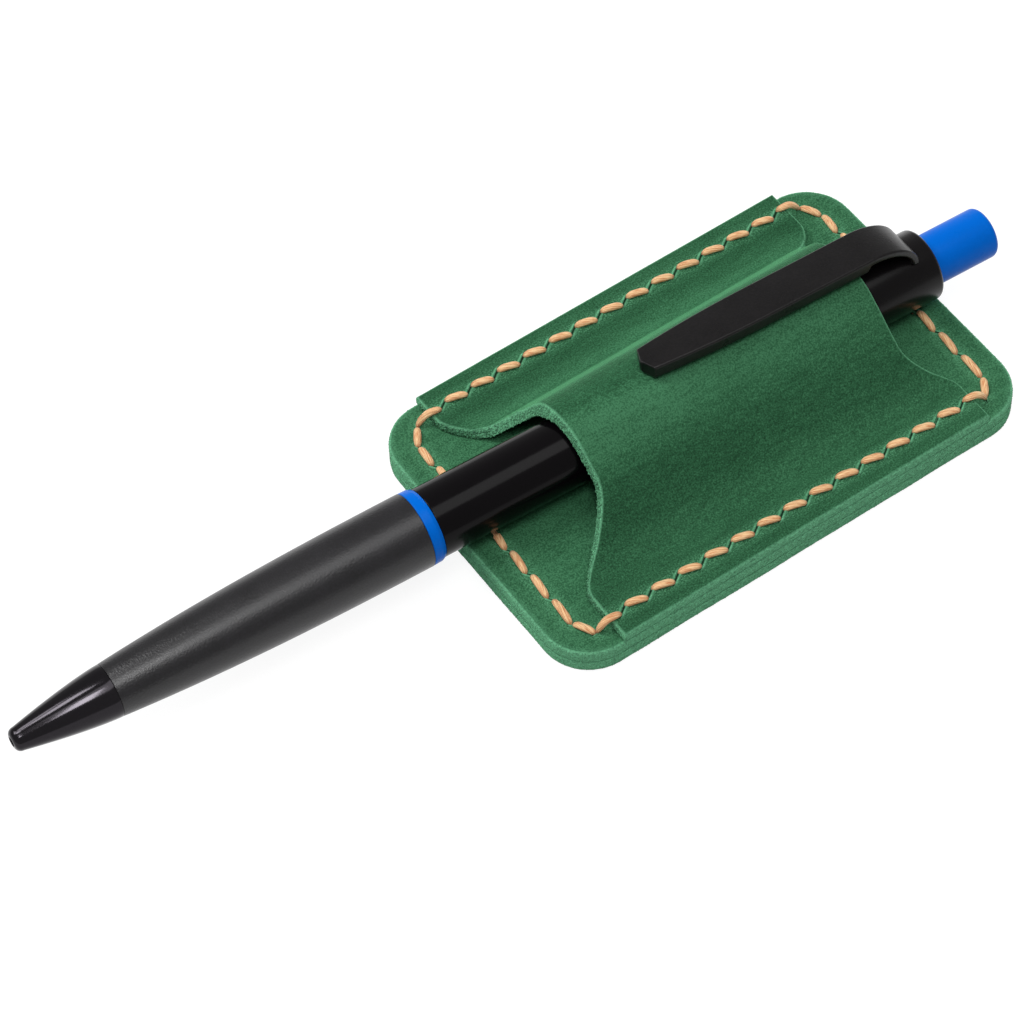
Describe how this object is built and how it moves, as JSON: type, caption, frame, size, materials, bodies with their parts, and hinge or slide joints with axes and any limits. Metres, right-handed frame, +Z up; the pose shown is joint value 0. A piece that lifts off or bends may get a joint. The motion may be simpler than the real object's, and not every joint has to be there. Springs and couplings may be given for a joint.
{
  "type": "leather pen case",
  "caption": "Flat stitched leather case with an arched sleeve, holding a retractable ballpoint by its pocket clip.",
  "frame": {"origin": "centre of the back face of the case, which rests on the table", "axes": "+X along the case towards the pen's push button, +Y across it towards the steep side of the sleeve, +Z up out of the table, through the sleeve and the clip"},
  "size_m": [0.1403, 0.0446, 0.0179],
  "materials": {
    "green_leather": "vegetable-tanned leather, dyed green, fine grain, raw cut edges",
    "waxed_thread": "peach waxed thread, slightly flattened",
    "nose_gunmetal": "polished dark gunmetal plating",
    "soft_touch_grey": "matt soft-touch coating, dark grey",
    "gloss_black": "gloss black",
    "satin_black": "satin black",
    "accent_blue": "bright blue, satin gloss",
    "white_acetal": "natural white acetal",
    "brass": "turned brass",
    "steel": "bright steel"
  },
  "bodies": {
    "case": {"back_panel": "green_leather", "base_panel": "green_leather", "sleeve_panel": "green_leather", "stitch_thread_a": "waxed_thread", "stitch_thread_b": "waxed_thread"},
    "pen": {"nose_cone": "nose_gunmetal", "grip_barrel": "soft_touch_grey", "accent_ring": "accent_blue", "upper_barrel": "gloss_black", "clip_cap": "gloss_black", "joining_bush": "brass", "guide_sleeve": "white_acetal", "return_spring": "steel"},
    "button": {"push_button": "accent_blue", "button_plunger": "white_acetal"},
    "refill": {"refill_tube": "steel", "refill_point": "brass", "writing_ball": "steel", "refill_plug": "white_acetal", "cam_rotor": "white_acetal"},
    "clip": {"pocket_clip": "satin_black"}
  },
  "joints": [
    {"name": "pen_slide", "type": "slide", "parent": "case", "child": "pen", "axis": [0.9988, -0.0494, 0], "range_m": [0, 0.12]},
    {"name": "button_press", "type": "slide", "parent": "pen", "child": "button", "axis": [-0.9988, 0.0494, 0], "range_m": [0, 0.0065], "stiffness_N_per_m": 300, "springref_m": -0.004},
    {"name": "refill_extend", "type": "slide", "parent": "pen", "child": "refill", "axis": [-0.9988, 0.0494, 0], "range_m": [0, 0.0065], "deforming": ["return_spring"]},
    {"name": "clip_flex", "type": "hinge", "parent": "pen", "child": "clip", "pos_m": [0.03142, 0.00005, 0.01323], "axis": [0.0491, 0.9937, -0.1011], "range_deg": [0, 4], "stiffness_Nm_per_rad": 1.5, "springref_deg": -0.57}
  ],
  "couplings": [
    {"joint": "refill_extend", "follows": "button_press", "ratio": 1}
  ]
}
